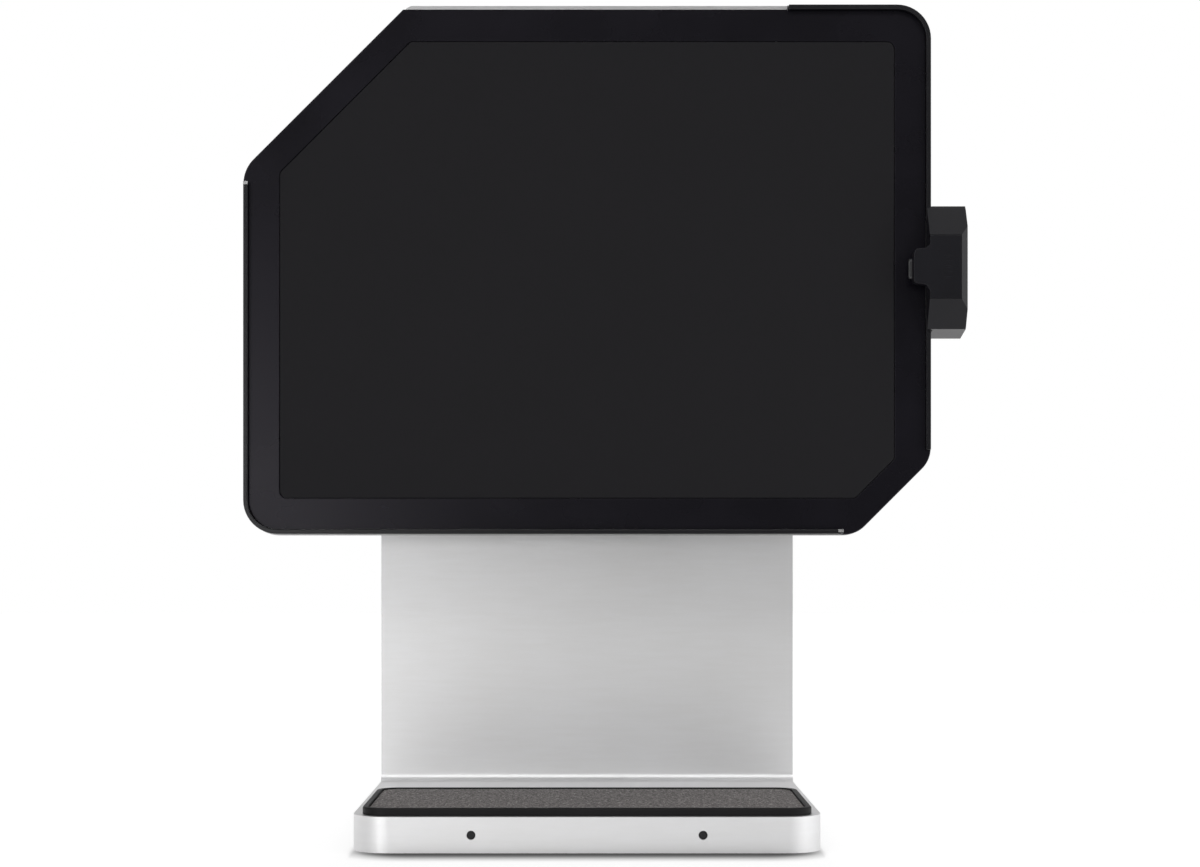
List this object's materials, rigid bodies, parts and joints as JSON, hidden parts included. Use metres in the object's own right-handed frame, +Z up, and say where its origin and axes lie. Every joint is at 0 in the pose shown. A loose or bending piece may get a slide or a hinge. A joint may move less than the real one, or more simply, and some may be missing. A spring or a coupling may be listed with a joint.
{
  "type": "tablet docking stand",
  "caption": "Desktop stand with a charging base, an upright column and a tilting, turning plate that holds a large tablet, with a slide-in plug at its side.",
  "frame": {"origin": "middle of the stand's footprint on the desk, on the underside of the rubber foot mat", "axes": "+Z up, +X to the user's right, where the connector is, +Y away from the user, towards the back of the column"},
  "size_m": [0.2983, 0.1621, 0.3401],
  "materials": {
    "aluminium": "satin anodised, fine blasted grain",
    "black_plastic": "smooth satin moulding",
    "soft_black": "matte soft-touch silicone",
    "connector_black": "satin moulding",
    "grey_fabric": "woven melange",
    "foot_rubber": "matte",
    "steel": "machined",
    "board": "solder mask",
    "copper": "wound wire",
    "ferrite": "sintered",
    "magnet": "nickel plated",
    "light_pipe": "smoked clear",
    "cable_grey": "matte"
  },
  "bodies": {
    "stand": {"stand_shell": "aluminium", "rear_cover": "aluminium", "bottom_cover": "black_plastic", "foot_mat": "foot_rubber", "base_screw_1": "steel", "base_screw_2": "steel", "base_screw_3": "steel", "base_screw_4": "steel", "base_weight": "steel", "indicator_left": "light_pipe", "indicator_right": "light_pipe", "charging_tray": "black_plastic", "charging_fabric": "grey_fabric", "charging_coil_left": "copper", "charging_coil_right": "copper", "ferrite_sheet": "ferrite", "charger_board": "board", "main_board": "board", "heat_spreader": "aluminium", "ethernet_jack": "black_plastic", "hdmi_socket": "steel", "usb_a_socket_1": "steel", "usb_a_socket_2": "steel", "usb_a_socket_3": "steel", "usb_c_socket": "steel", "sd_card_slot": "steel", "dc_inlet": "black_plastic", "audio_jack": "black_plastic", "hinge_shaft": "steel", "hinge_bracket_left": "steel", "hinge_bracket_right": "steel", "friction_washer_left": "steel", "friction_washer_right": "steel"},
    "arm": {"tilt_arm": "aluminium", "arm_cover": "black_plastic"},
    "head": {"head_rear_shell": "aluminium", "head_front_plate": "black_plastic", "head_grip_pad": "soft_black", "lip_lower_left": "black_plastic", "lip_upper_right": "black_plastic", "magnet_1": "magnet", "magnet_2": "magnet", "magnet_3": "magnet", "magnet_4": "magnet", "magnet_5": "magnet", "magnet_6": "magnet", "magnet_keeper": "steel", "rotation_hub": "steel", "wave_washer": "steel", "spindle_nut": "steel", "ribbon_cable": "cable_grey", "slide_rail_upper": "steel", "slide_rail_lower": "steel"},
    "connector": {"connector_carriage": "steel", "connector_housing": "connector_black", "connector_cover": "connector_black", "usb_c_plug": "steel", "plug_insert": "black_plastic"}
  },
  "joints": [
    {"name": "tilt", "type": "hinge", "parent": "stand", "child": "arm", "pos_m": [0, 0.07, 0.23], "axis": [-1, 0, 0], "range_deg": [-10, 110]},
    {"name": "turn", "type": "hinge", "parent": "arm", "child": "head", "pos_m": [0, 0.034, 0.2304], "axis": [0, 1, 0], "range_deg": [0, 90]},
    {"name": "connector_slide", "type": "slide", "parent": "head", "child": "connector", "axis": [1, 0, 0], "range_m": [0, 0.01]}
  ]
}
